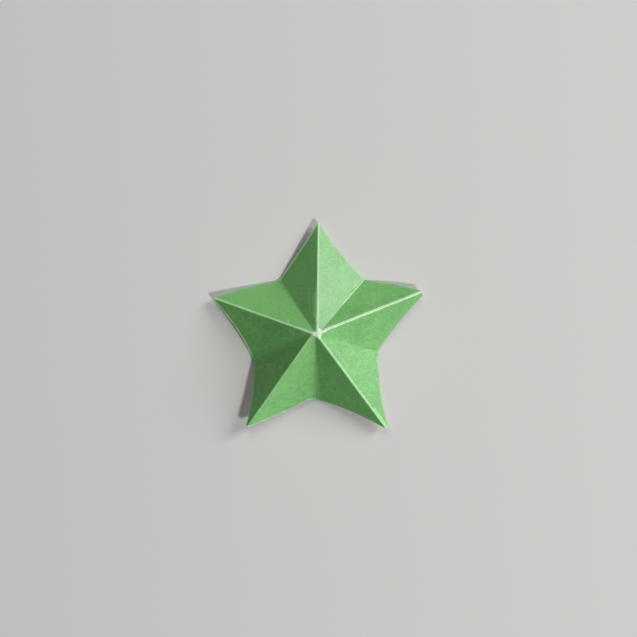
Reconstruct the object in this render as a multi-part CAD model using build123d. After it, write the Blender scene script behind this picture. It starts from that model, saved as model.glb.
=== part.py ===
from build123d import *
import math
import os

# A five-pointed star folded and cut from one small square of craft paper. The square was folded
# into ten wedges, cut once across and opened again. Five creases stand up as ridges that run to
# the tips, five sink as valleys that run to the notches, and all ten meet at the fold centre.
#
# Frame: origin on the table right under the fold centre, +Z up, +Y towards the top tip and +X to
# its right. Millimetres and degrees. The star lies on its five notches with its tips lifted.

# The sheet
sheet_thickness = 0.15
paper_density = 0.0008

# The fold
arms = 5
apex_height = 12.0
apex_blunting = 0.35
crest_width = 0.35
crest_width_at_apex = 0.1

# The cut, seen from above: mean reach of its corners from the fold centre
tip_reach = 29.0
notch_reach = 16.7

# Hand work leaves each arm a little off the regular star. For each tip, counterclockwise from the
# top one: turn of its ridge, turn of the cut's corner, change of reach, extra lift, worn radius
tip_strays = [
    (0.0, -0.2, -1.1, -0.55, 0.4),
    (-0.7, -0.4, -1.1, -0.55, 0.3),
    (-0.9, -1.6, 0.7, 0.9, 0.35),
    (-0.3, 0.6, 1.4, 0.1, 0.8),
    (3.9, 3.2, 0.0, 0.1, 0.6),
]

# For each notch, counterclockwise from the upper left one: turn of its valley, turn of the cut's
# corner, change of reach, radius in the cut, radius that the valley is bent to at the table, which
# is 0 where the valley is creased sharply
notch_strays = [
    (-0.1, 1.9, -0.25, 3.0, 2.0),
    (1.3, 5.3, 0.75, 1.5, 6.0),
    (-2.6, -4.8, -0.55, 4.0, 2.5),
    (5.2, 3.3, -1.05, 5.5, 5.0),
    (-4.3, -4.5, 0.95, 3.5, 0.0),
]

# In the same order, valleys that were creased twice: a narrow flat lies between the two creases
doubled_valleys = [True, False, True, False, False]

# Outward bow of the cut edges, counterclockwise: from each tip to its notch, and on to the next tip
edge_bows = [
    (-0.1, 0.45),
    (-0.9, -0.75),
    (0.3, -0.8),
    (-0.9, -0.4),
    (0.3, -0.3),
]

# Stock that the cut removes all round below the table
cutting_margin = 1.0

# Halvings in each search for a lift or a seat
search_steps = 60

arm_turn = 360 / arms
top_bearing = 90

# Where the creases would meet if wear hadn't blunted the point
sharp_height = apex_height + apex_blunting


def spot(bearing, reach, height=0.0):
    angle = math.radians(bearing)
    return Vector(reach * math.cos(angle), reach * math.sin(angle), height)


def tip_bearing(arm):
    return top_bearing + arm * arm_turn


def notch_bearing(arm):
    return top_bearing + (arm + 0.5) * arm_turn


def cut_outline():
    # Ten shallow arcs from corner to corner, then the corners rounded
    corners = []
    radii = []
    bows = []
    for arm in range(arms):
        _, tip_turn, tip_change, _, tip_radius = tip_strays[arm]
        _, notch_turn, notch_change, notch_radius, _ = notch_strays[arm]
        corners.append(spot(tip_bearing(arm) + tip_turn, tip_reach + tip_change))
        corners.append(spot(notch_bearing(arm) + notch_turn, notch_reach + notch_change))
        radii += [tip_radius, notch_radius]
        bows += edge_bows[arm]
    sides = []
    for index, start in enumerate(corners):
        end = corners[(index + 1) % len(corners)]
        along = (end - start).normalized()
        outward = Vector(along.Y, -along.X)
        middle = (start + end) * 0.5 + outward * bows[index]
        sides.append(ThreePointArc(start, middle, end))
    face = make_face(sides)
    for corner, radius in zip(corners, radii):
        nearest = face.vertices().sort_by_distance(corner)[0]
        face = fillet(nearest, radius)
    return face.face()


def crease_rays(common_lift):
    # Unit vectors from the fold centre down the ten creases, tips and notches in turn
    centre = Vector(0, 0, apex_height)
    rays = []
    for arm in range(arms):
        ridge_turn, _, tip_change, extra_lift, _ = tip_strays[arm]
        valley_turn, _, notch_change, _, _ = notch_strays[arm]
        lift = common_lift + extra_lift
        tip = spot(tip_bearing(arm) + ridge_turn, tip_reach + tip_change, lift)
        notch = spot(notch_bearing(arm) + valley_turn, notch_reach + notch_change)
        rays.append((tip - centre).normalized())
        rays.append((notch - centre).normalized())
    return rays


def wedge_angles(rays):
    angles = []
    for index, ray in enumerate(rays):
        angles.append(ray.get_angle(rays[(index + 1) % len(rays)]))
    return angles


def solve_common_lift():
    # A flat sheet stays flat between its creases, so its ten wedges fill a full turn round the
    # centre. For a given height of the centre, that fixes how far the tips stand off the table.
    low = -apex_height
    high = apex_height
    for _ in range(search_steps):
        middle = (low + high) / 2
        if sum(wedge_angles(crease_rays(middle))) < 360:
            low = middle
        else:
            high = middle
    return middle


def valley_bend_centre(outline, bearing, bend_radius):
    # On the valley's bearing, the point that lies one bend radius from the cut edge: the rounded
    # valley then touches the table right under the cut
    low = 0
    high = tip_reach + bend_radius
    for _ in range(search_steps):
        middle = (low + high) / 2
        point = spot(bearing, middle)
        if outline.is_inside(point) or outline.outer_wire().distance_to(point) < bend_radius:
            low = middle
        else:
            high = middle
    return spot(bearing, middle)


def tangent_line(point, centre, radius, side):
    # Direction from a point to where it grazes a circle, on one side of it
    to_centre = centre - point
    swing = math.asin(radius / to_centre.length) * side
    return to_centre.rotate(Axis.Z, math.degrees(swing)).normalized()


def meeting_point(start_a, along_a, start_b, along_b):
    gap = start_b - start_a
    cross = along_a.X * along_b.Y - along_a.Y * along_b.X
    distance = (gap.X * along_b.Y - gap.Y * along_b.X) / cross
    return start_a + along_a * distance


def fold_contour(outline, rays):
    # Corners of the fold where it would meet the table, ridges and valleys in turn. The flanks of
    # a valley are the lines from its two ridges that graze its bend.
    ridges = []
    for ray in rays[::2]:
        fall = -ray.Z / math.hypot(ray.X, ray.Y)
        ridges.append(Vector(ray.X, ray.Y).normalized() * (sharp_height / fall))
    valleys = []
    for arm in range(arms):
        valley_turn, _, _, _, bend_radius = notch_strays[arm]
        centre = valley_bend_centre(outline, notch_bearing(arm) + valley_turn, bend_radius)
        before = ridges[arm]
        after = ridges[(arm + 1) % arms]
        valley = meeting_point(
            before,
            tangent_line(before, centre, bend_radius, 1),
            after,
            tangent_line(after, centre, bend_radius, -1),
        )
        valleys.append(valley)
    return ridges, valleys


def flat_ends(corner, before, after, width):
    # A flat strip along a crease: the contour's corner gives way to two, one on each flank
    to_before = (before - corner).normalized()
    to_after = (after - corner).normalized()
    half_angle = math.radians(to_before.get_angle(to_after) / 2)
    setback = width / (2 * math.sin(half_angle))
    return [corner + to_before * setback, corner + to_after * setback]


def doubled_width(corner, before, after, bend_radius):
    # Width of the flat that grazes the valley's bend midway between its flanks
    turn = 180 - (before - corner).get_angle(after - corner)
    return 2 * bend_radius * math.tan(math.radians(turn / 4))


def contour_face(ridges, valleys, height):
    # The contour shrinks evenly towards the centre, as on any sheet bent round one point, but
    # the crests narrow less
    scale = (sharp_height - height) / sharp_height
    width = crest_width_at_apex + (crest_width - crest_width_at_apex) * scale
    points = []
    bends = []
    for arm in range(arms):
        ridge = ridges[arm] * scale
        valley = valleys[arm] * scale
        next_ridge = ridges[(arm + 1) % arms] * scale
        _, _, _, _, bend_radius = notch_strays[arm]
        points += flat_ends(ridge, valleys[arm - 1] * scale, valley, width)
        bends += [0, 0]
        if doubled_valleys[arm]:
            flat = doubled_width(valley, ridge, next_ridge, bend_radius * scale)
            points += flat_ends(valley, ridge, next_ridge, flat)
            bends += [0, 0]
        else:
            points.append(valley)
            bends.append(bend_radius * scale)
    face = make_face(FilletPolyline(*points, radius=bends, close=True)).face()
    return face.moved(Location((0, 0, height)))


def side_face(low, high):
    # Flat between two straight edges, and part of a cone between two arcs
    if low.geom_type == GeomType.LINE:
        corners = [low @ 0, low @ 1, high @ 1, high @ 0]
        return Face(Wire.make_polygon(corners))
    return Face.make_surface_from_curves(low, high)


def fold_solid(ridges, valleys):
    base = contour_face(ridges, valleys, -cutting_margin)
    crown = contour_face(ridges, valleys, apex_height)
    faces = [base, crown]
    lows = base.outer_wire().order_edges()
    highs = crown.outer_wire().order_edges()
    for low, high in zip(lows, highs):
        faces.append(side_face(low, high))
    return Solid(Shell(faces))


def upright_thickness(rays):
    # The sheet's thickness measured straight up, from the mean tilt of its ten wedges
    total = 0
    for index, ray in enumerate(rays):
        normal = ray.cross(rays[(index + 1) % len(rays)]).normalized()
        total += abs(normal.Z)
    return sheet_thickness * len(rays) / total


def make_star():
    rays = crease_rays(solve_common_lift())
    outline = cut_outline()
    ridges, valleys = fold_contour(outline, rays)
    under = fold_solid(ridges, valleys)
    over = under.moved(Location((0, 0, upright_thickness(rays))))
    trim = extrude(outline, amount=apex_height + cutting_margin)
    star = (over - under) & trim
    star = star.moved(Location((0, 0, -star.bounding_box().min.Z)))
    return star.solid()


def print_sizes(star):
    lift = solve_common_lift()
    angles = wedge_angles(crease_rays(lift))
    box = star.bounding_box()
    print("common tip lift", round(lift, 2))
    print("wedge angles", [round(angle, 1) for angle in angles])
    print("size", [round(value, 2) for value in box.size])
    print("sheet area", round(star.volume / sheet_thickness, 1))
    print("mass in grams", round(star.volume * paper_density, 3))


folded_star = make_star()
print_sizes(folded_star)
os.makedirs("parts", exist_ok=True)
export_step(folded_star, "parts/folded_star.step")
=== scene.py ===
# %% [markdown]
# # A paper star, folded and cut from one small square
#
# The star is a single sheet of thin craft paper, green on its face and white inside. Someone
# folded it into ten wedges, cut once across them and opened it again. Five creases stand up as
# ridges and five sink as valleys. This lesson lays a finely modelled sheet over the plain solid,
# which is loaded first: everything after it is placed in the solid's own frame, in metres.

# %% Load the plain solid
import math

import bmesh
import bpy
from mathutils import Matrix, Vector


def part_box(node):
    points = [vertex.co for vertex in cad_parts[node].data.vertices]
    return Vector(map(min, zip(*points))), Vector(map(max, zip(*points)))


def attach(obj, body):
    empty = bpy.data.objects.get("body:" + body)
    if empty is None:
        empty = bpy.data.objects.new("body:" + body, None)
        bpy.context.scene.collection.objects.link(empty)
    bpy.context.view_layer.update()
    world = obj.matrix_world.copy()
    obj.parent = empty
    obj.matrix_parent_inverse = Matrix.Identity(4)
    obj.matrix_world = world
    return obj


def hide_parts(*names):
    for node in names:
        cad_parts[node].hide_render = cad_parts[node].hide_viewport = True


MM = 0.001

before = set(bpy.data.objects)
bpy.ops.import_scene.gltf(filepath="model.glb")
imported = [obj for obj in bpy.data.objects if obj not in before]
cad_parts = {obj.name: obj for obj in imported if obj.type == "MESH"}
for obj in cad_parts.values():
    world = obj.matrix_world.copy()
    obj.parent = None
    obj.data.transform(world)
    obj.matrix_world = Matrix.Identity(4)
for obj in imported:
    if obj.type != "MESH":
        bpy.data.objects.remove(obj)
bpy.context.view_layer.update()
_, star_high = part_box("folded_star")

# %% [markdown]
# ## The view
#
# The star lies on the table and is seen from straight above. The camera stands a little towards
# the top tip, which sets the star a little low in the picture. A long lens far away keeps the
# tips from looking bigger than they are. The width of table that the picture takes in settles the
# lens once the distance is chosen.

# %% Camera
CAMERA_DISTANCE = 600 * MM
PICTURE_WIDTH = 159.4 * MM
CAMERA_PLACE = (0.13 * MM, 3.86 * MM, CAMERA_DISTANCE)
NEAREST_SEEN = 10 * MM

camera_data = bpy.data.cameras.new("camera")
camera_data.lens = camera_data.sensor_width * CAMERA_DISTANCE / PICTURE_WIDTH
camera_data.clip_start = NEAREST_SEEN
camera = bpy.data.objects.new("camera", camera_data)
camera.location = CAMERA_PLACE
bpy.context.scene.collection.objects.link(camera)
bpy.context.scene.camera = camera
print("lens in mm", round(camera_data.lens, 1))

# %% [markdown]
# ## The light
#
# Ten facets face ten ways, and their brightness is what makes the folds readable. Two lamps do
# most of it: a firm one to the lower right and a wide one to the upper right, low enough for its
# gloss to whiten the facets that lean towards it. A weak one fills in from the top. Much light
# all round would flatten the star, so the rest of the room is only a faint even glow. A lamp's
# power grows with the square of its distance, and here it is worked out from the brightness it
# gives on a sheet that faces it.

# %% Lamps
LAMP_DISTANCE = 1400 * MM
LAMPS = {
    # name: bearing, height above the table in degrees, width, brightness on a facing sheet
    "firm_lamp": (-46, 43, 240 * MM, 0.44),
    "wide_lamp": (28, 27, 620 * MM, 0.59),
    "fill_lamp": (95, 47, 770 * MM, 0.18),
}


def add_lamp(name, bearing, elevation, width, brightness):
    data = bpy.data.lights.new(name, "AREA")
    data.shape = "DISK"
    data.size = width
    data.energy = brightness * math.pi**2 * LAMP_DISTANCE**2
    lamp = bpy.data.objects.new(name, data)
    across = math.cos(math.radians(elevation))
    away = Vector((
        across * math.cos(math.radians(bearing)),
        across * math.sin(math.radians(bearing)),
        math.sin(math.radians(elevation)),
    ))
    lamp.location = away * LAMP_DISTANCE
    lamp.rotation_euler = away.to_track_quat("Z", "Y").to_euler()
    bpy.context.scene.collection.objects.link(lamp)
    print(name, round(data.energy, 2), "watts")


for lamp_name, lamp_values in LAMPS.items():
    add_lamp(lamp_name, *lamp_values)

# %% [markdown]
# ## A shorthand for node trees
#
# The sheet's shape and its finish are both worked out by nodes. Written socket by socket they
# would be hard to follow, so a wire is wrapped in a small class: adding two wires adds the Math
# node that sums them, or the Vector Math node where one of them carries a vector. One method
# makes every other node.

# %% Wires and graphs
def pick(sockets, key):
    if isinstance(key, int):
        return sockets[key]
    return next(socket for socket in sockets if socket.name == key and socket.enabled)


def is_vector(value):
    if isinstance(value, Wire):
        return value.socket.type in ("VECTOR", "RGBA")
    return isinstance(value, (tuple, Vector))


class Wire:
    """What leaves one output of a node."""

    def __init__(self, graph, socket):
        self.graph = graph
        self.socket = socket

    def __getitem__(self, name):
        return Wire(self.graph, pick(self.socket.node.outputs, name))

    def maths(self, operation, *others):
        return self.graph.maths(operation, self, *others)

    def __add__(self, other):
        return self.maths("ADD", other)

    def __sub__(self, other):
        return self.maths("SUBTRACT", other)

    def __rsub__(self, other):
        return self.graph.maths("SUBTRACT", other, self)

    def __mul__(self, other):
        return self.maths("MULTIPLY", other)

    def __truediv__(self, other):
        return self.maths("DIVIDE", other)

    def __rtruediv__(self, other):
        return self.graph.maths("DIVIDE", other, self)

    def __neg__(self):
        return self.maths("MULTIPLY", -1)

    __radd__ = __add__
    __rmul__ = __mul__


class Graph:
    """A node tree that hands back wires."""

    def __init__(self, tree):
        self.tree = tree

    def add(self, kind, settings=None, feeds=None):
        node = self.tree.nodes.new(kind)
        for name, value in (settings or {}).items():
            setattr(node, name, value)
        for key, value in (feeds or {}).items():
            socket = pick(node.inputs, key)
            if isinstance(value, Wire):
                self.tree.links.new(value.socket, socket)
            else:
                socket.default_value = value
        shown = [socket for socket in node.outputs if socket.enabled]
        return Wire(self, shown[0]) if shown else None

    def maths(self, operation, *values):
        vectors = any(is_vector(value) for value in values)
        kind = "ShaderNodeVectorMath" if vectors else "ShaderNodeMath"
        feeds = {}
        for index, value in enumerate(values):
            plain = isinstance(value, (int, float))
            feeds[index] = (value,) * 3 if vectors and plain else value
        return self.add(kind, {"operation": operation}, feeds)

    def rise(self, value, start, end):
        """0 before start and 1 after end, or the other way round where start is larger."""
        feeds = {"Value": value, "From Min": start, "From Max": end}
        return self.add("ShaderNodeMapRange", {"interpolation_type": "SMOOTHSTEP"}, feeds)

    def noise(self, place, cell, detail=2.0, roughness=0.5):
        """Soft noise about 0.5, with blots about one cell wide."""
        feeds = {"Vector": place, "Scale": 1 / cell, "Detail": detail, "Roughness": roughness}
        return self.add("ShaderNodeTexNoise", None, feeds)

    def sway(self, place, cell, detail=2.0, roughness=0.5):
        """The same noise about 0, so that it adds as much as it takes away."""
        return self.noise(place, cell, detail, roughness) - 0.5


def blend(start, end, share):
    return start + (end - start) * share


# %% [markdown]
# ## The creases
#
# Every crease runs from the fold centre to the cut edge. On an ideal star they would lie every
# 36 degrees, but hand folding turns each by a degree or more and leaves the five tips at five
# heights. Each crease is noted as one vertex at its outer end, and what else is known of it goes
# into named attributes, because a node tree can look those up.

# %% Crease table
CREASES = {
    # name: bearing in degrees, then in millimetres its reach, the height of its outer end and the
    # radius of its bend there, and last the share of the bend that is flat
    "top_ridge": (90.0, 27.9, 1.61, 0.30, 0.0),
    "upper_left_valley": (125.9, 16.9, 0.0, 1.3, 0.35),
    "left_ridge": (161.2, 27.9, 1.61, 0.30, 0.0),
    "lower_left_valley": (199.3, 17.5, 0.0, 4.6, 0.0),
    "bottom_left_ridge": (232.5, 29.7, 3.06, 0.25, 0.0),
    "bottom_valley": (268.5, 16.6, 0.0, 2.5, 0.55),
    "bottom_right_ridge": (305.7, 30.4, 2.26, 0.30, 0.0),
    "lower_right_valley": (347.2, 16.4, 0.0, 3.2, 0.0),
    "right_ridge": (381.9, 29.0, 2.26, 0.32, 0.0),
    "upper_right_valley": (409.4, 17.9, 0.0, 0.15, 0.0),
}

# The creases would meet this far above the solid's top if wear hadn't blunted the point
POINT_ABOVE_SOLID = 0.15 * MM
FOLD_HEIGHT = star_high.z + POINT_ABOVE_SOLID

# A slack fold turned the point into a short blunt roof, so the creases start a little apart
CREASE_STARTS = {
    # name: millimetres to the right of the fold centre and towards the top tip
    "top_ridge": (-0.32, 0.25),
    "upper_left_valley": (-0.6, 0.25),
    "left_ridge": (-1.24, 0.05),
    "lower_left_valley": (-1.2, 0.15),
    "bottom_left_ridge": (-1.36, 0.25),
    "bottom_valley": (-0.6, -0.05),
    "bottom_right_ridge": (-0.3, -0.2),
    "lower_right_valley": (0.0, 0.0),
    "right_ridge": (0.08, 0.25),
    "upper_right_valley": (0.08, 0.25),
}

# %% [markdown]
# The print cracks along a hard crease and lets the white core of the paper show. The right ridge
# was pressed most and has a whitish line, and the left one comes close to it. The top and bottom
# right ones have light green lines, the bottom left one a faint one and the sharpest valley a
# trace. The scissors bared a thread of core on some of the cut edges as well.

# %% Wear and painted facet shade table
WEAR_AND_FACET_SHADE = {
    # name: strength of the pale line, then in millimetres its half width, its shift towards the
    # next valley and its flare near the centre, and last, for the wedge that follows, the wear of
    # its cut and how much lighter or darker its print is painted, which stands in for part of the
    # light and shade on that facet
    "top_ridge": (0.56, 0.31, -0.09, 0.12, 1.85, 0.30),
    "upper_left_valley": (0.0, 0.10, 0.0, 0.0, 0.15, 0.43),
    "left_ridge": (1.05, 0.28, -0.15, 0.05, 1.45, 0.02),
    "lower_left_valley": (0.0, 0.10, 0.0, 0.0, 0.20, 0.04),
    "bottom_left_ridge": (0.20, 0.24, 0.0, 0.05, 0.85, 0.22),
    "bottom_valley": (0.0, 0.10, 0.0, 0.0, 0.15, -0.20),
    "bottom_right_ridge": (0.62, 0.35, 0.12, -0.02, 0.40, -0.08),
    "lower_right_valley": (0.0, 0.10, 0.0, 0.0, 0.20, 0.05),
    "right_ridge": (1.45, 0.32, 0.15, 0.0, 0.15, 0.14),
    "upper_right_valley": (0.30, 0.10, 0.0, 0.0, 0.20, -0.20),
}

# %% [markdown]
# A wedge lies flat between two creases, so their ends and the fold centre give its slope. At a
# crease the slope jumps from one wedge's to the next. That jump is the kink, and it says how much
# a bend has to raise or lower the paper there.

# %% Slopes and kinks
def across(a, b):
    return a.x * b.y - a.y * b.x


def crease_ends():
    ends = []
    for bearing, reach, height, _, _ in CREASES.values():
        turn = math.radians(bearing)
        ends.append(Vector((reach * math.cos(turn), reach * math.sin(turn), height)) * MM)
    return ends


def wedge_slope(first, second):
    # The level vector that points up a flat wedge, as long as the wedge is steep
    fall_first = first.z - FOLD_HEIGHT
    fall_second = second.z - FOLD_HEIGHT
    x = fall_first * second.y - fall_second * first.y
    y = fall_second * first.x - fall_first * second.x
    return Vector((x, y)) / across(first, second)


def crease_kinks(ends):
    # How much the slope turns across each crease: less than 0 on a ridge, more in a valley
    turns = []
    for index, end in enumerate(ends):
        before = wedge_slope(ends[index - 1], end)
        after = wedge_slope(end, ends[(index + 1) % len(ends)])
        side = Vector((-end.y, end.x)).normalized()
        turns.append((after - before).dot(side))
    return turns


outer_ends = crease_ends()
kinks = crease_kinks(outer_ends)
print("slope turns", dict(zip(CREASES, [round(kink, 2) for kink in kinks])))

# %% [markdown]
# A mesh of loose points is the easiest thing for a tree to look up. One helper makes it and
# writes the notes on its points, and it serves the old creases further on as well.

# %% Crease pattern as a mesh
def point_mesh(name, points, edges, numbers, vectors):
    mesh = bpy.data.meshes.new(name)
    mesh.from_pydata(points, edges, [])
    for label, values in numbers.items():
        note = mesh.attributes.new(label, "FLOAT", "POINT")
        note.data.foreach_set("value", values)
    for label, values in vectors.items():
        note = mesh.attributes.new(label, "FLOAT_VECTOR", "POINT")
        note.data.foreach_set("vector", [number for value in values for number in value])
    item = bpy.data.objects.new(name, mesh)
    bpy.context.scene.collection.objects.link(item)
    return item


# The bend takes this share of its radius to each side of the crease
BEND_SHARE = 0.49

_, _, _, bend_radii, bend_flats = zip(*CREASES.values())
line_wears, line_halves, line_shifts, line_flares, cut_wears, facet_shade_tones = zip(*WEAR_AND_FACET_SHADE.values())
crease_numbers = {
    "kink": kinks,
    "bend_half": [radius * BEND_SHARE * MM for radius in bend_radii],
    "bend_flat": bend_flats,
    "line_wear": line_wears,
    "line_half": [half * MM for half in line_halves],
    "line_shift": [shift * MM for shift in line_shifts],
    "line_flare": [flare * MM for flare in line_flares],
    "cut_wear": cut_wears,
    # painted light and shade: each facet's print is made this much lighter or darker
    "print_tone": facet_shade_tones,
}
crease_starts = [(x * MM, y * MM, 0) for x, y in CREASE_STARTS.values()]
crease_vectors = {"start": crease_starts}
crease_pattern = point_mesh("crease_pattern", outer_ends, [], crease_numbers, crease_vectors)
print("creases", len(outer_ends), "with", len(crease_numbers), "numbers each")

# %% [markdown]
# ## The cut
#
# One cut across the folded wedges gave ten corners: five tips and five notches. The scissors
# rounded every corner a little and bowed every side by a few tenths of a millimetre. The cut is
# drawn as a curve. A side is a stretch of a parabola, which a Bezier curve holds exactly, and a
# corner is a short stretch that stands for an arc and leaves both sides in their own direction.

# %% Corners of the cut
CUT_CORNERS = [
    # bearing in degrees, then in millimetres: reach, radius, bow of the side that follows
    (89.8, 27.9, 0.4, -0.1),
    (127.9, 16.45, 3.0, 0.45),
    (161.6, 27.9, 0.45, -0.9),
    (203.3, 17.45, 1.5, -0.75),
    (232.4, 29.7, 0.6, 0.3),
    (265.2, 16.15, 4.0, -0.8),
    (306.6, 30.4, 0.75, -0.9),
    (345.3, 15.65, 5.5, -0.4),
    (381.2, 29.0, 0.95, 0.3),
    (409.5, 17.65, 3.5, -0.3),
]


def polar(bearing, reach):
    turn = math.radians(bearing)
    return Vector((math.cos(turn), math.sin(turn), 0)) * reach * MM


def outward(along):
    return Vector((along.y, -along.x, 0)).normalized()


class Side:
    """One bowed side of the cut, from a corner to the next."""

    def __init__(self, start, end, bow):
        self.start = start
        self.run = end - start
        self.rise = outward(self.run) * 4 * bow

    def point(self, share):
        return self.start + self.run * share + self.rise * share * (1 - share)

    def way(self, share):
        return self.run + self.rise * (1 - 2 * share)


# %% Cut line
CUT_LINE_STEPS = 24


def cut_sides():
    corners = [polar(bearing, reach) for bearing, reach, _, _ in CUT_CORNERS]
    sides = []
    for index, (_, _, _, bow) in enumerate(CUT_CORNERS):
        sides.append(Side(corners[index], corners[(index + 1) % len(corners)], bow * MM))
    return sides


def arc_handle(radius, turn):
    # Handle length with which a Bezier stretch comes closest to an arc
    return 4 / 3 * math.tan(turn / 4) * radius


def cut_line():
    sides = cut_sides()
    turns = [sides[index - 1].way(1).angle(side.way(0)) for index, side in enumerate(sides)]
    radii = [radius * MM for _, _, radius, _ in CUT_CORNERS]
    setbacks = [radius * math.tan(turn / 2) for radius, turn in zip(radii, turns)]
    handles = [arc_handle(radius, turn) for radius, turn in zip(radii, turns)]
    curve = bpy.data.curves.new("cut_line", "CURVE")
    curve.dimensions = "3D"
    curve.resolution_u = CUT_LINE_STEPS
    spline = curve.splines.new("BEZIER")
    spline.bezier_points.add(2 * len(sides) - 1)
    spline.use_cyclic_u = True
    for index, side in enumerate(sides):
        after = (index + 1) % len(sides)
        first = setbacks[index] / side.run.length
        last = 1 - setbacks[after] / side.run.length
        reach_out = side.way(first) * (last - first) / 3
        reach_back = side.way(last) * (last - first) / 3
        leaving = spline.bezier_points[2 * index]
        leaving.co = side.point(first)
        leaving.handle_left = leaving.co - side.way(first).normalized() * handles[index]
        leaving.handle_right = leaving.co + reach_out
        arriving = spline.bezier_points[2 * index + 1]
        arriving.co = side.point(last)
        arriving.handle_left = arriving.co - reach_back
        arriving.handle_right = arriving.co + side.way(last).normalized() * handles[after]
    item = bpy.data.objects.new("cut_line", curve)
    bpy.context.scene.collection.objects.link(item)
    return item


cut = cut_line()
bpy.context.view_layer.update()
print("cut line spans in mm", [round(side / MM, 2) for side in cut.dimensions])

# %% [markdown]
# ## Marks of the folding
#
# Craft paper remembers every fold that was tried and opened again. A pale line with a dark one
# beside it runs out along the upper right valley, three run into the lower right notch and a
# nick meets the left ridge. Four pale ones lie close together left of the top ridge, where the
# fold was shifted, one widens the line at the bottom right tip, and faint ones cross the flanks.
# Each is a short bowed stroke in the plan of the sheet, pale where the print cracked, and dark
# where painted shade stands in for the shade that falls in a small fold.

# %% Old creases
OLD_CREASES = [
    # from: bearing and reach, to: bearing and reach, bow in mm, mark: pale wear above 0,
    # painted shade below
    (49.9, 9.7, 49.4, 17.6, 0.0, 0.70),
    (51.2, 13.5, 50.9, 17.3, 0.03, -0.55),
    (52.3, 14.8, 52.1, 17.0, 0.0, 0.25),
    (344.4, 12.3, 344.6, 14.6, 0.0, -0.45),
    (339.4, 11.6, 344.1, 15.7, 0.0, 0.16),
    (351.2, 12.5, 351.0, 16.2, 0.1, -0.12),
    (153.4, 8.1, 162.1, 7.7, 0.0, 0.60),
    (96.0, 3.2, 92.0, 11.6, 0.05, 0.95),
    (99.6, 4.2, 93.9, 10.2, 0.05, 0.75),
    (104.0, 4.8, 96.6, 10.2, 0.1, 0.45),
    (109.0, 5.8, 101.0, 10.6, -0.2, 0.36),
    (96.0, 9.0, 110.0, 7.6, 0.0, 0.12),
    (117.0, 11.7, 122.6, 11.2, 0.0, 0.14),
    (175.4, 19.8, 176.3, 16.6, -0.1, 0.14),
    (167.6, 7.5, 183.7, 5.8, 0.1, 0.32),
    (188.7, 6.9, 196.6, 5.6, 0.1, 0.22),
    (181.8, 12.5, 182.8, 10.4, 0.0, 0.18),
    (192.6, 13.7, 201.0, 12.0, 0.1, 0.20),
    (307.3, 23.0, 306.9, 29.7, 0.0, 0.55),
    (108.0, 14.5, 103.0, 7.0, 0.3, 0.07),
    (33.0, 22.0, 29.0, 12.0, -0.5, 0.05),
]
STROKE_STEPS = 6


def stroke_points(strokes):
    points = []
    marks = []
    for first_bearing, first_reach, last_bearing, last_reach, bow, mark in strokes:
        stroke = Side(polar(first_bearing, first_reach), polar(last_bearing, last_reach), bow * MM)
        for step in range(STROKE_STEPS + 1):
            points.append(stroke.point(step / STROKE_STEPS))
            marks.append(mark)
    return points, marks


def stroke_edges(count):
    edges = []
    for start in range(0, count, STROKE_STEPS + 1):
        edges += [(start + step, start + step + 1) for step in range(STROKE_STEPS)]
    return edges


strokes, marks = stroke_points(OLD_CREASES)
old_creases = point_mesh("old_creases", strokes, stroke_edges(len(strokes)), {"mark": marks}, {})
print("old creases", len(OLD_CREASES), "in", len(strokes), "points")

# %% [markdown]
# ## The folded sheet as a rule
#
# The sheet's shape follows a rule, so nodes make it. Every straight line from the fold centre to
# the cut edge stays straight when the paper is folded. The tree starts from a flat grid whose
# columns are such lines and whose rows run round the star. It turns each column to its bearing,
# finds how far the cut lets it reach, and gives it the slope that its wedge has there.

# %% Inputs of the tree
FOLDING_INPUTS = {
    "Creases": ("NodeSocketObject", crease_pattern),
    "Cut line": ("NodeSocketObject", cut),
    "Old creases": ("NodeSocketObject", old_creases),
    "Fold height": ("NodeSocketFloat", FOLD_HEIGHT),
    "Apex blunting": ("NodeSocketFloat", 0.35 * MM),
    "Sheet thickness": ("NodeSocketFloat", 0.15 * MM),
    "Scissor wobble": ("NodeSocketFloat", 0.05 * MM),
    "Paper waves": ("NodeSocketFloat", 0.16 * MM),
    "Paper dimples": ("NodeSocketFloat", 0.045 * MM),
    "Old crease depth": ("NodeSocketFloat", 0.08 * MM),
    "Columns in a wedge": ("NodeSocketInt", 44),
    "Rows": ("NodeSocketInt", 68),
    "Seed": ("NodeSocketInt", 7),
}

folding = bpy.data.node_groups.new("folding", "GeometryNodeTree")
folding.interface.new_socket("Geometry", in_out="OUTPUT", socket_type="NodeSocketGeometry")
for label, (kind, _) in FOLDING_INPUTS.items():
    folding.interface.new_socket(label, in_out="INPUT", socket_type=kind)

sheet = Graph(folding)
given = sheet.add("NodeGroupInput")

# %% [markdown]
# ### Columns and rows
#
# Ten wedges lie round the star, and each starts at a ridge or at a valley. Columns crowd towards
# the creases, where the paper bends, and thin out across the flat of a wedge.

# %% Grid and wedges
WEDGES = len(CREASES)
CROWDING = 0.86

grid = sheet.add("GeometryNodeMeshGrid", None, {
    "Size X": 1.0,
    "Size Y": 1.0,
    "Vertices X": given["Columns in a wedge"] * WEDGES + 1,
    "Vertices Y": given["Rows"] + 1,
})
on_grid = sheet.add("GeometryNodeInputPosition")
grid_axes = sheet.add("ShaderNodeSeparateXYZ", None, {0: on_grid})
turn = (0.5 - grid_axes["X"]) * WEDGES
outward_share = grid_axes["Y"] + 0.5

wedge = turn.maths("FLOOR")
share = turn - wedge
crowded = share - (share * 2 * math.pi).maths("SINE") * (CROWDING / (2 * math.pi))
starts_at_valley = wedge.maths("FLOORED_MODULO", 2.0)
ridge_number = (wedge + starts_at_valley).maths("FLOORED_MODULO", float(WEDGES))
valley_number = (wedge + 1 - starts_at_valley).maths("FLOORED_MODULO", float(WEDGES))
to_valley = blend(crowded, 1 - crowded, starts_at_valley)

# Rows crowd a little towards the fold centre
ROW_LEAN = 0.45
along = outward_share * (ROW_LEAN + (1 - ROW_LEAN) * outward_share)

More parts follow.
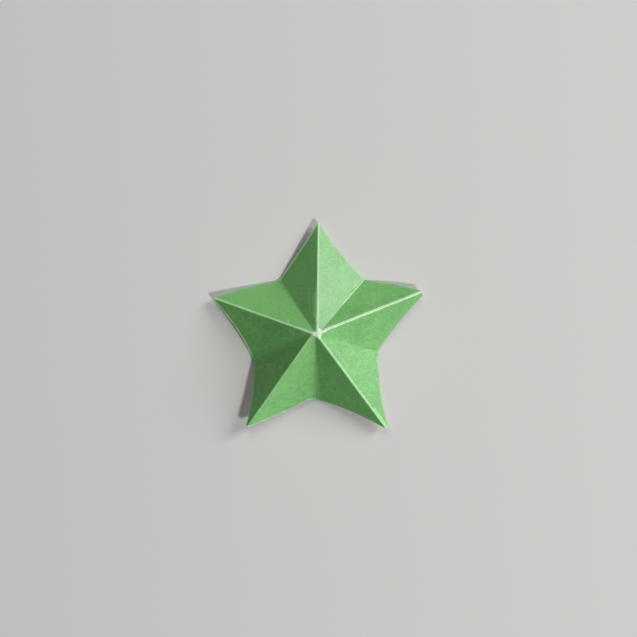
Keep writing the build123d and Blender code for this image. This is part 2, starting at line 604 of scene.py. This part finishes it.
# %% [markdown]
# ### Looking up the creases
#
# Sample Index reads the note that a crease vertex carries. A crease's bearing comes from where
# its vertex lies, levelled and brought to length one.

# %% Crease lookups
crease_mesh = sheet.add("GeometryNodeObjectInfo", None, {"Object": given["Creases"]})["Geometry"]


def read_note(label, kind="FLOAT"):
    return sheet.add("GeometryNodeInputNamedAttribute", {"data_type": kind}, {"Name": label})


def look_up(geometry, value, number, kind="FLOAT", domain="POINT"):
    feeds = {"Geometry": geometry, "Value": value, "Index": number}
    return sheet.add("GeometryNodeSampleIndex", {"data_type": kind, "domain": domain}, feeds)


def crease_note(label, number):
    return look_up(crease_mesh, read_note(label), number)


def crease_place(number):
    place = sheet.add("GeometryNodeInputPosition")
    return look_up(crease_mesh, place, number, "FLOAT_VECTOR")


def crease_start(number):
    return look_up(crease_mesh, read_note("start", "FLOAT_VECTOR"), number, "FLOAT_VECTOR")


def height_of(place):
    return sheet.add("ShaderNodeSeparateXYZ", None, {0: place})["Z"]


def level(place):
    return place * (1, 1, 0)


def cross(first, second):
    return height_of(first.maths("CROSS_PRODUCT", second))


ridge_end = crease_place(ridge_number)
valley_end = crease_place(valley_number)
ridge_way = level(ridge_end).maths("NORMALIZE")
valley_way = level(valley_end).maths("NORMALIZE")
way = blend(ridge_way, valley_way, to_valley).maths("NORMALIZE")

# %% [markdown]
# ### How far the paper reaches
#
# The cut line is stood up as a low curtain round the fold centre. A ray sent out level along a
# bearing meets the curtain where the scissors went, and its length is the reach of the paper on
# that bearing. A little noise, read round the star, makes the cut as unsteady as a hand.

# %% Reach of each column
CURTAIN = 2 * MM
CUT_STEP = 0.1 * MM
RAY_LENGTH = 1.0

# The wobble is read round a ring in the noise, in millimetres, and a seed moves the ring
WOBBLE_RING = 29
WOBBLE_CELL = 3.0
SEED_STEP = 13.7

cut_curve = sheet.add("GeometryNodeObjectInfo", None, {"Object": given["Cut line"]})["Geometry"]
even_cut = sheet.add("GeometryNodeResampleCurve", {"mode": "LENGTH"}, {
    "Curve": cut_curve,
    "Length": CUT_STEP,
})
cut_edges = sheet.add("GeometryNodeCurveToMesh", None, {"Curve": even_cut})
low_cut = sheet.add("GeometryNodeTransform", None, {
    "Geometry": cut_edges,
    "Translation": (0, 0, -CURTAIN / 2),
})
curtain = sheet.add("GeometryNodeExtrudeMesh", {"mode": "EDGES"}, {
    "Mesh": low_cut,
    "Offset": sheet.add("ShaderNodeCombineXYZ", None, {"Z": 1.0}),
    "Offset Scale": CURTAIN,
})
fold_centre = sheet.add("ShaderNodeCombineXYZ")


def cut_reach(bearing_way):
    return sheet.add("GeometryNodeRaycast", {"data_type": "FLOAT"}, {
        "Target Geometry": curtain,
        "Source Position": fold_centre,
        "Ray Direction": bearing_way,
        "Ray Length": RAY_LENGTH,
    })["Hit Distance"]


ridge_reach = cut_reach(ridge_way)
valley_reach = cut_reach(valley_way)
seed_shift = given["Seed"] * SEED_STEP
unsteady = sheet.sway(way * WOBBLE_RING + seed_shift, WOBBLE_CELL)
reach = cut_reach(way) + unsteady * 2 * given["Scissor wobble"]

# %% [markdown]
# ### Slopes
#
# A ridge falls from the fold centre to its lifted tip, a valley falls to the table. Between
# them a wedge is flat, and the fall on any bearing follows from the two by their share in it.
# The point of the fold is blunt, so the height is a hyperbola and not a sharp cone.

# %% Height of each point
height = given["Fold height"]
ridge_fall = (height - height_of(ridge_end)) / ridge_reach
valley_fall = (height - height_of(valley_end)) / valley_reach
from_valley = cross(way, valley_way)
from_ridge = cross(ridge_way, way)
fall = (from_valley * ridge_fall + from_ridge * valley_fall) / cross(ridge_way, valley_way)

drop = along * fall * reach
blunt = given["Apex blunting"]
bare_height = height - (drop * drop + blunt * blunt).maths("SQRT")

# %% Plan of each point
# The columns spread from one point to the creases' starts over this share of their length
ROOF_FADE = 0.03

ridge_start = crease_start(ridge_number)
valley_start = crease_start(valley_number)
start = blend(ridge_start, valley_start, to_valley)
start_share = sheet.rise(along, 0.0, ROOF_FADE) * (1 - along)
plan = start * start_share + way * reach * along

# %% [markdown]
# ### Bends
#
# No crease is a mathematical line. Close to it the paper follows a small curve: on a ridge that
# curve is a few tenths of a millimetre wide, in the soft valleys it is millimetres wide and grows
# with the distance from the centre. A parabola that meets both slopes replaces the corner. Two
# valleys were creased twice, and there a flat strip lies between two smaller parabolas.

# %% Ridge and valley bends
# A ridge's bend is never wider to one side than this share of the distance from the centre
NEAR_CENTRE = 0.3


def gap_to_crease(crease_from, crease_way, crease_reach):
    line = (crease_way * crease_reach - crease_from).maths("NORMALIZE")
    return cross(plan - crease_from, line).maths("ABSOLUTE")


def bend_lift(gap, half, flat, kink):
    curved = half * (1 - flat)
    inside = (half - gap).maths("MAXIMUM", 0.0).maths("MINIMUM", curved)
    beyond = (half - gap - curved).maths("MAXIMUM", 0.0)
    return kink * (inside * inside / (curved * 4) + beyond / 2)


ridge_gap = gap_to_crease(ridge_start, ridge_way, ridge_reach)
valley_gap = gap_to_crease(valley_start, valley_way, valley_reach)
plan_reach = plan.maths("LENGTH")
ridge_half = crease_note("bend_half", ridge_number).maths("MINIMUM", plan_reach * NEAR_CENTRE)
valley_half = crease_note("bend_half", valley_number) * along
ridge_lift = bend_lift(ridge_gap, ridge_half, 0.0, crease_note("kink", ridge_number))
valley_flat = crease_note("bend_flat", valley_number)
valley_lift = bend_lift(valley_gap, valley_half, valley_flat, crease_note("kink", valley_number))

# %% [markdown]
# ### Slack in the sheet
#
# Between the creases thin paper is never quite flat. Broad soft waves, about a tenth of a
# millimetre high, and small dimples on them give each facet its slow changes of tone, and the old
# creases press shallow lines into it.

# %% Waves and old creases
WAVE_CELL = 9 * MM
DIMPLE_CELL = 2.4 * MM
OLD_HALF = 0.35 * MM

# The creases hold the sheet firm round the point: slack grows over this share of the way out
FIRM_SHARE = 0.4

flat_place = plan + seed_shift * MM
waves = sheet.sway(flat_place, WAVE_CELL, detail=1.0) * 2 * given["Paper waves"]
dimples = sheet.sway(flat_place, DIMPLE_CELL, detail=1.0) * 2 * given["Paper dimples"]
slack = (waves + dimples) * sheet.rise(along, 0.0, FIRM_SHARE)

old_lines = sheet.add("GeometryNodeObjectInfo", None, {"Object": given["Old creases"]})["Geometry"]
old_gap = sheet.add("GeometryNodeProximity", {"target_element": "EDGES"}, {
    0: old_lines,
    "Sample Position": plan,
})["Distance"]
nearest_old = sheet.add("GeometryNodeSampleNearest", {"domain": "EDGE"}, {
    "Geometry": old_lines,
    "Sample Position": plan,
})
old_mark = look_up(old_lines, read_note("mark"), nearest_old, domain="EDGE")
old_press = sheet.rise(old_gap, OLD_HALF, 0.0) * old_mark.maths("ABSOLUTE")
old_dip = old_press * given["Old crease depth"]

full_height = bare_height + ridge_lift + valley_lift + slack - old_dip
place = plan + sheet.add("ShaderNodeCombineXYZ", None, {"Z": full_height})

# %% [markdown]
# ### Notes for the finish
#
# The finish wears where the paper was pressed: along ridges, at the point and along the cut.
# The tree knows those distances exactly, so it pencils them on the sheet as attributes, in
# metres, and the material reads them later. With them goes each wedge's painted lightening or
# darkening, which stands in for part of the light and shade on its facet.

# %% Distances stored on the sheet
AT_END = 0.001


def write_note(geometry, label, value, domain="POINT"):
    settings = {"data_type": "FLOAT", "domain": domain}
    feeds = {"Geometry": geometry, "Name": label, "Value": value}
    return sheet.add("GeometryNodeStoreNamedAttribute", settings, feeds)


edge_gap = sheet.add("GeometryNodeProximity", {"target_element": "EDGES"}, {
    0: cut_edges,
    "Sample Position": plan,
})["Distance"]
inner_row = outward_share.maths("LESS_THAN", AT_END)
first_column = turn.maths("LESS_THAN", AT_END)
last_column = turn.maths("GREATER_THAN", WEDGES - AT_END)
line_shift = crease_note("line_shift", ridge_number) * (1 - 2 * starts_at_valley)
NOTES = {
    "ridge_gap": ridge_gap,
    "ridge_wear": crease_note("line_wear", ridge_number),
    "ridge_half": crease_note("line_half", ridge_number) + line_shift,
    "ridge_flare": crease_note("line_flare", ridge_number),
    "valley_gap": valley_gap,
    "valley_wear": crease_note("line_wear", valley_number),
    "edge_gap": edge_gap,
    "edge_wear": crease_note("cut_wear", wedge),
    # painted light and shade: how much lighter or darker this facet's print is made
    "wedge_tone": crease_note("print_tone", wedge),
    "old_gap": old_gap,
    "old_mark": old_mark,
    "weld": inner_row.maths("MAXIMUM", first_column).maths("MAXIMUM", last_column),
}

noted = grid
for label, value in NOTES.items():
    noted = write_note(noted, label, value)
shaped = sheet.add("GeometryNodeSetPosition", None, {"Geometry": noted, "Position": place})

# %% [markdown]
# ### Thickness
#
# The grid becomes a closed round sheet where its first and last columns meet and its inner row
# shrinks to a point. A second skin, pushed down by the paper's thickness and turned over, is the
# underside, and the strip between the two is the cut edge. The star is then set down until its
# lowest notch touches the table.

# %% Two skins and a rim
WELD_DISTANCE = 0.0001 * MM

upper_skin = sheet.add("GeometryNodeMergeByDistance", None, {
    "Geometry": shaped,
    "Selection": read_note("weld"),
    "Distance": WELD_DISTANCE,
})
pushed = sheet.add("GeometryNodeExtrudeMesh", {"mode": "FACES"}, {
    "Mesh": upper_skin,
    "Offset Scale": -given["Sheet thickness"],
    "Individual": False,
})
lower_skin = sheet.add("GeometryNodeFlipFaces", None, {"Mesh": pushed})
lower_skin = write_note(lower_skin, "bare", 1.0, domain="FACE")
joined = sheet.add("GeometryNodeJoinGeometry")
for skin in (lower_skin, upper_skin):
    folding.links.new(skin.socket, joined.socket.node.inputs[0])
closed = sheet.add("GeometryNodeMergeByDistance", None, {
    "Geometry": joined,
    "Distance": WELD_DISTANCE,
})

# %% Set down and shade
# In radians: the skins stay smooth over every crease, and the rim keeps its two hard edges
SHARP_ANGLE = 0.9

closed_box = sheet.add("GeometryNodeBoundBox", None, {"Geometry": closed})
set_down = sheet.add("GeometryNodeTransform", None, {
    "Geometry": closed,
    "Translation": closed_box["Min"] * (0, 0, -1),
})
smooth = sheet.add("GeometryNodeSetShadeSmooth", {"domain": "FACE"}, {"Geometry": set_down})
edge_angle = sheet.add("GeometryNodeInputMeshEdgeAngle")["Unsigned Angle"]
shaded = sheet.add("GeometryNodeSetShadeSmooth", {"domain": "EDGE"}, {
    "Geometry": smooth,
    "Selection": edge_angle.maths("GREATER_THAN", SHARP_ANGLE),
    "Shade Smooth": False,
})
realized = sheet.add("GeometryNodeRealizeInstances", None, {"Geometry": shaded})

# %% [markdown]
# ## The printed face
#
# Craft paper of this kind is white right through, with a thin coat of colour on one face. Close
# up the coat is cloudy, because the fibres under it take it up unevenly. Where the sheet was
# creased hard the coat cracks off in a ragged white line. All of it reads the sheet's own place
# in millimetres and the distances that the tree stored.

# %% Shader helpers
def new_material(name):
    material = bpy.data.materials.new(name)
    material.use_nodes = True
    material.node_tree.nodes.clear()
    return material, Graph(material.node_tree)


def mix_colour(graph, share, first, second):
    settings = {"data_type": "RGBA", "blend_type": "MIX"}
    return graph.add("ShaderNodeMix", settings, {"Factor": share, "A": first, "B": second})


def note(graph, label):
    settings = {"attribute_type": "GEOMETRY", "attribute_name": label}
    return graph.add("ShaderNodeAttribute", settings)["Fac"]


def note_mm(graph, label):
    return note(graph, label) * (1 / MM)


def in_millimetres(graph):
    return graph.add("ShaderNodeTexCoord")["Object"] * (1 / MM)


def weighed(parts, weights):
    return sum(part * weight for part, weight in zip(parts, weights))


def finish_surface(graph, colour, roughness, relief, depth, constants):
    bump = graph.add("ShaderNodeBump", None, {"Height": relief, "Distance": depth, "Strength": 1.0})
    feeds = {"Base Color": colour, "Roughness": roughness, "Normal": bump, **constants}
    surface = graph.add("ShaderNodeBsdfPrincipled", None, feeds)
    graph.add("ShaderNodeOutputMaterial", None, {"Surface": surface})


# %% Fibres
FIBRES = [
    # bearing in degrees, length and width in mm
    (25, 1.6, 0.12),
    (78, 1.4, 0.11),
    (141, 1.8, 0.13),
]


def fibres(graph, place, lean, length, width):
    # Noise drawn out along one bearing: felted threads that lie in the sheet
    rotated = graph.add("ShaderNodeMapping", {"vector_type": "TEXTURE"}, {
        "Vector": place,
        "Rotation": (0, 0, math.radians(lean)),
        "Scale": (length, width, width),
    })
    return graph.noise(rotated, 1.0, detail=2.0)


def felt(graph, place):
    threads = fibres(graph, place, *FIBRES[0])
    for row in FIBRES[1:]:
        threads = threads.maths("MAXIMUM", fibres(graph, place, *row))
    return threads


# %% Green print
GREEN_DEEP = (0.091, 0.395, 0.066, 1)
GREEN_LIGHT = (0.204, 0.645, 0.146, 1)
# Painted shade: the colour of the dark strokes, standing in for the shade in a small fold
GREEN_CREASE_SHADE = (0.045, 0.160, 0.035, 1)
TINT_COOL = (0.90, 1.0, 1.13, 1)
TINT_WARM = (1.11, 1.0, 0.87, 1)
CLOUDS = {
    # name: cell in mm, detail, roughness, weight in the tone
    "drift": (13.0, 1.0, 0.5, 0.4),
    "cloud": (4.0, 3.0, 0.5, 0.5),
    "blots": (1.3, 3.0, 0.6, 0.8),
    "grain": (0.45, 3.0, 0.65, 1.4),
}
THREAD_MIDDLE = 0.6
THREAD_WEIGHT = 0.5
HUE_CELL = 0.55
HUE_SPAN = (0.3, 0.7)

green_paper, green = new_material("green_paper")
place_mm = in_millimetres(green)
threads = felt(green, place_mm)
# The wedge's note paints light and shade into the tone: each facet's print is lightened or darkened
# to stand in for part of how the light falls on it.
tone = 0.5 + (threads - THREAD_MIDDLE) * THREAD_WEIGHT + note(green, "wedge_tone")
clouds = {}
for name, (cell, detail, roughness, weight) in CLOUDS.items():
    clouds[name] = green.noise(place_mm, cell, detail, roughness)
    tone = tone + (clouds[name] - 0.5) * weight
grain = clouds["grain"]
printed = mix_colour(green, green.rise(tone, 0.0, 1.0), GREEN_DEEP, GREEN_LIGHT)
hue = green.noise(place_mm, HUE_CELL, detail=3.0, roughness=0.7)
printed = printed * mix_colour(green, green.rise(hue, *HUE_SPAN), TINT_COOL, TINT_WARM)
print("print from", len(CLOUDS), "clouds and", len(FIBRES), "runs of fibres")

# %% [markdown]
# ### Where the print is worn, and where crease shade is painted
#
# Every mask below starts from a distance, most of them stored on the sheet, and is 1 where the
# print is worn, or, for the dark strokes, where crease shade is painted. A ragged noise is added
# to the distance first, so that no mask ends in a ruled line, and a slower one thins the lines
# here and there. Along a crease the print is only scuffed to a light green, and the white core
# shows where the wear is strongest, above all at the point.

# %% Masks with a ragged edge
RAGGED_CELL = 0.4
RAGGED_SPREAD = 0.5
MASKS = {
    # name: distance at which the mask starts and at which it is full, share of the ragged noise.
    # The distances are in millimetres, and at the point in shares of an oval.
    "ridge": (0.10, -0.12, 0.8),
    "valley": (0.26, 0.04, 0.3),
    "cut": (0.44, 0.20, 0.5),
    "stroke": (0.0, -0.20, 0.4),
    "point": (1.20, 0.65, 0.9),
}

ragged = green.sway(place_mm, RAGGED_CELL, detail=3.0, roughness=0.7) * RAGGED_SPREAD


def mask(name, gap):
    start, full, ragged_share = MASKS[name]
    return green.rise(gap + ragged * ragged_share, start, full)


# %% Worn lines
PATCH_CELL = 1.8
WIDTH_CELL = 1.6
WIDTH_SPREAD = 0.34
STROKE_HALF = 0.20
STROKE_SWELL = 0.12

# Where the patchy noise thins the wear and where it leaves it, then the wear's strength there
LINE_PATCHES = (0.30, 0.55, 0.70, 1.05)
CUT_PATCHES = (0.25, 0.60, 0.40, 1.00)

# Distances from the centre, in mm, between which the ridges' flare and the valleys' wear set in
FLARE_ZONE = (10, 3)
VALLEY_ZONE = (13.5, 11.5)

patchy = green.noise(place_mm, PATCH_CELL)


def thinning(start, end, thin, full):
    return blend(thin, full, green.rise(patchy, start, end))


centre_gap = (place_mm * (1, 1, 0)).maths("LENGTH")

flare = note_mm(green, "ridge_flare") * green.rise(centre_gap, *FLARE_ZONE)
line_half = note_mm(green, "ridge_half") + flare + green.sway(place_mm, WIDTH_CELL) * WIDTH_SPREAD
ridge_mask = mask("ridge", note_mm(green, "ridge_gap") - line_half)
ridge_worn = ridge_mask * note(green, "ridge_wear") * thinning(*LINE_PATCHES)

valley_mask = mask("valley", note_mm(green, "valley_gap")) * green.rise(centre_gap, *VALLEY_ZONE)
valley_worn = valley_mask * note(green, "valley_wear")

cut_mask = mask("cut", note_mm(green, "edge_gap"))
cut_worn = cut_mask * note(green, "edge_wear") * thinning(*CUT_PATCHES)

mark = note(green, "old_mark")
stroke_half = STROKE_HALF + mark.maths("ABSOLUTE") * STROKE_SWELL
stroke = mask("stroke", note_mm(green, "old_gap") - stroke_half)
old_worn = stroke * mark.maths("MAXIMUM", 0.0)
# Painted shade along the dark strokes, where a small fold would lie in shade
painted_crease_shade = stroke * (-mark).maths("MAXIMUM", 0.0)

# %% [markdown]
# The point was pinched at every fold, so a whole patch of print is gone there. Overlapping ovals
# give the patch its uneven outline: at each place the nearest one counts.

# %% Worn point
WORN_OVALS = [
    # middle, reach along X and Y, in millimetres
    ((0.0, -0.1, 0), (0.85, 0.80)),
    ((-0.7, 0.05, 0), (0.70, 0.55)),
    ((0.7, 0.45, 0), (0.60, 0.36)),
    ((1.5, 0.80, 0), (0.80, 0.30)),
    ((0.35, -0.8, 0), (0.36, 0.50)),
    ((0.35, 0.75, 0), (0.45, 0.75)),
]


def oval(middle, semi):
    # Distance from the middle of an oval, as a share of its reach in that direction
    return ((place_mm - middle) * (1 / semi[0], 1 / semi[1], 0)).maths("LENGTH")


roof = oval(*WORN_OVALS[0])
for middle, semi in WORN_OVALS[1:]:
    roof = roof.maths("MINIMUM", oval(middle, semi))
roof_worn = mask("point", roof)

# %% [markdown]
# The masks are then put to use, one over the other. Painted shade darkens the print along the dark
# strokes, worn places turn it light green, and where the core shows the paper is white and a little
# rougher.

# %% Green face
SCUFFED_GREEN = (0.47, 0.92, 0.40, 1)
CORE_WHITE = (0.82, 0.97, 0.75, 1)
POINT_WHITE = (0.80, 0.99, 0.85, 1)
GLOSS = {"Specular IOR Level": 1.0, "IOR": 1.7}
PRINT_ROUGHNESS = 0.48
GRAIN_ROUGHNESS = 0.10
CORE_ROUGHNESS = 0.25
RELIEF_DEPTH = 0.02 * MM

# Weights in the relief: of the fibres, the grain and the ragged edge of what is worn
PRINT_RELIEF = (0.5, 0.5, 1.5)

# Wear at which the core starts to show, wear at which it shows most, how much of it shows then
RIDGE_CORE = (0.95, 1.35, 0.80)
CUT_CORE = (0.60, 1.40, 0.60)
POINT_CORE = 0.95


def core_share(wear, start, full, most):
    return green.rise(wear, start, full) * most


worn = ridge_worn.maths("MAXIMUM", valley_worn).maths("MAXIMUM", cut_worn)
worn = worn.maths("MAXIMUM", old_worn).maths("MAXIMUM", roof_worn)
bare = core_share(ridge_worn, *RIDGE_CORE).maths("MAXIMUM", core_share(cut_worn, *CUT_CORE))
bare = bare.maths("MAXIMUM", roof_worn * POINT_CORE)
# The painted crease shade goes on first, and the worn places go over it
face_colour = mix_colour(green, painted_crease_shade, printed, GREEN_CREASE_SHADE)
face_colour = mix_colour(green, worn.maths("MINIMUM", 1.0), face_colour, SCUFFED_GREEN)
core = mix_colour(green, roof_worn, CORE_WHITE, POINT_WHITE)
face_colour = mix_colour(green, bare, face_colour, core)
face_roughness = PRINT_ROUGHNESS + grain * GRAIN_ROUGHNESS + bare * CORE_ROUGHNESS
relief = weighed((threads, grain, worn * ragged), PRINT_RELIEF)
finish_surface(green, face_colour, face_roughness, relief, RELIEF_DEPTH, GLOSS)
print("green print", len(green.tree.nodes), "nodes")

# %% [markdown]
# ## The white side
#
# The cut edge and the underside show the bare paper. It has the same felt of fibres with no
# coat over it, so it is rougher and only faintly uneven.

# %% White paper
PAPER_WARM = (0.77, 0.78, 0.74, 1)
PAPER_BRIGHT = (0.86, 0.87, 0.84, 1)
PAPER_SPAN = (0.3, 0.75)
PAPER_CLOUD = 4.0
PAPER_GRAIN = 0.5
PAPER_ROUGHNESS = 0.78

# Weights of the clouds, the fibres and the grain in the tone, and of the last two in the relief
PAPER_TONE = (0.4, 0.4, 0.3)
PAPER_RELIEF = (0.6, 0.4)

white_paper, white = new_material("white_paper")
white_place = in_millimetres(white)
white_threads = felt(white, white_place)
white_grain = white.noise(white_place, PAPER_GRAIN, detail=3.0)
white_cloud = white.noise(white_place, PAPER_CLOUD)
white_tone = weighed((white_cloud, white_threads, white_grain), PAPER_TONE)
white_colour = mix_colour(white, white.rise(white_tone, *PAPER_SPAN), PAPER_WARM, PAPER_BRIGHT)
white_roughness = PAPER_ROUGHNESS + white_grain * GRAIN_ROUGHNESS
white_relief = weighed((white_threads, white_grain), PAPER_RELIEF)
finish_surface(white, white_colour, white_roughness, white_relief, RELIEF_DEPTH, {})
print("white paper", len(white.tree.nodes), "nodes")

# %% [markdown]
# ## Running the tree
#
# The finish is set by the last nodes of the tree: the coat on the upper skin, bare paper on the
# rest. An object with an empty mesh carries the tree, its inputs are set by their identifiers,
# and what comes out is copied to a plain mesh that needs no modifier.

# %% Finish nodes and output
coated = sheet.add("GeometryNodeSetMaterial", None, {"Geometry": realized, "Material": green_paper})
dressed = sheet.add("GeometryNodeSetMaterial", None, {
    "Geometry": coated,
    "Selection": read_note("bare"),
    "Material": white_paper,
})
sheet.add("NodeGroupOutput", None, {"Geometry": dressed})
print("folding tree", len(folding.nodes), "nodes")


def run_tree(name, tree, inputs):
    carrier = bpy.data.objects.new(name + "_carrier", bpy.data.meshes.new(name + "_carrier"))
    bpy.context.scene.collection.objects.link(carrier)
    modifier = carrier.modifiers.new("tree", "NODES")
    modifier.node_group = tree
    for item in tree.interface.items_tree:
        if item.in_out == "INPUT":
            modifier[item.identifier] = inputs[item.name][1]
    bpy.context.view_layer.update()
    evaluated = carrier.evaluated_get(bpy.context.evaluated_depsgraph_get())
    mesh = bpy.data.meshes.new_from_object(evaluated)
    carrier.modifiers.clear()
    bpy.data.objects.remove(carrier)
    piece = bpy.data.objects.new(name, mesh)
    mesh.name = name
    bpy.context.scene.collection.objects.link(piece)
    return piece


star = run_tree("paper_star", folding, FOLDING_INPUTS)
for helper in (crease_pattern, cut, old_creases):
    bpy.data.objects.remove(helper)

# %% Look the sheet over
def check_sheet(piece):
    shell = bmesh.new()
    shell.from_mesh(piece.data)
    loose = [edge for edge in shell.edges if len(edge.link_faces) != 2]
    volume = shell.calc_volume(signed=True)
    heights = [vertex.co.z / MM for vertex in shell.verts]
    triangles = sum(len(face.verts) - 2 for face in shell.faces)
    shell.free()
    print("open edges", len(loose), "triangles", triangles)
    print("volume in mm3", round(volume / MM**3, 1))
    print("heights in mm", round(min(heights), 3), "to", round(max(heights), 3))


check_sheet(star)

# These two notes were of use to the tree alone
for label in ("weld", "bare"):
    if label in star.data.attributes:
        star.data.attributes.remove(star.data.attributes[label])

# %% [markdown]
# ## The table
#
# The star lies on a plain pale surface, which is stage and no part of it. A wide plane takes the
# shadows, and the room behind it is just as pale wherever the camera sees past its edge, while
# the light that the room itself gives stays weak.

# %% Floor and room
FLOOR_HALF = 1.5
FLOOR_COLOUR = (0.80, 0.79, 0.77, 1)
FLOOR_ROUGHNESS = 0.9
ROOM_COLOUR = (1, 0.99, 0.97, 1)
ROOM_GLOW = 0.04
BACKDROP_GLOW = 0.55

floor_mesh = bpy.data.meshes.new("floor")
floor_signs = [(-1, -1), (1, -1), (1, 1), (-1, 1)]
floor_corners = [(x * FLOOR_HALF, y * FLOOR_HALF, 0) for x, y in floor_signs]
floor_mesh.from_pydata(floor_corners, [], [(0, 1, 2, 3)])
floor = bpy.data.objects.new("floor", floor_mesh)
bpy.context.scene.collection.objects.link(floor)
floor_paint, paint = new_material("floor_paint")
floor_surface = paint.add("ShaderNodeBsdfPrincipled", None, {
    "Base Color": FLOOR_COLOUR,
    "Roughness": FLOOR_ROUGHNESS,
})
paint.add("ShaderNodeOutputMaterial", None, {"Surface": floor_surface})
floor_mesh.materials.append(floor_paint)

world = bpy.data.worlds.new("room")
world.use_nodes = True
world.node_tree.nodes.clear()
bpy.context.scene.world = world
room = Graph(world.node_tree)
seen = room.add("ShaderNodeLightPath")["Is Camera Ray"]
strength = blend(ROOM_GLOW, BACKDROP_GLOW, seen)
backdrop = room.add("ShaderNodeBackground", None, {"Color": ROOM_COLOUR, "Strength": strength})
room.add("ShaderNodeOutputWorld", None, {"Surface": backdrop})

# %% [markdown]
# ## Handing the pieces over
#
# The modelled sheet stands for the plain solid and moves with the one body there is. The view
# transform stays plain, so that colours come out as they are written.

# %% Ride and replace, with a plain view transform
bpy.context.scene.view_settings.view_transform = "Standard"

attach(star, "root")
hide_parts("folded_star")
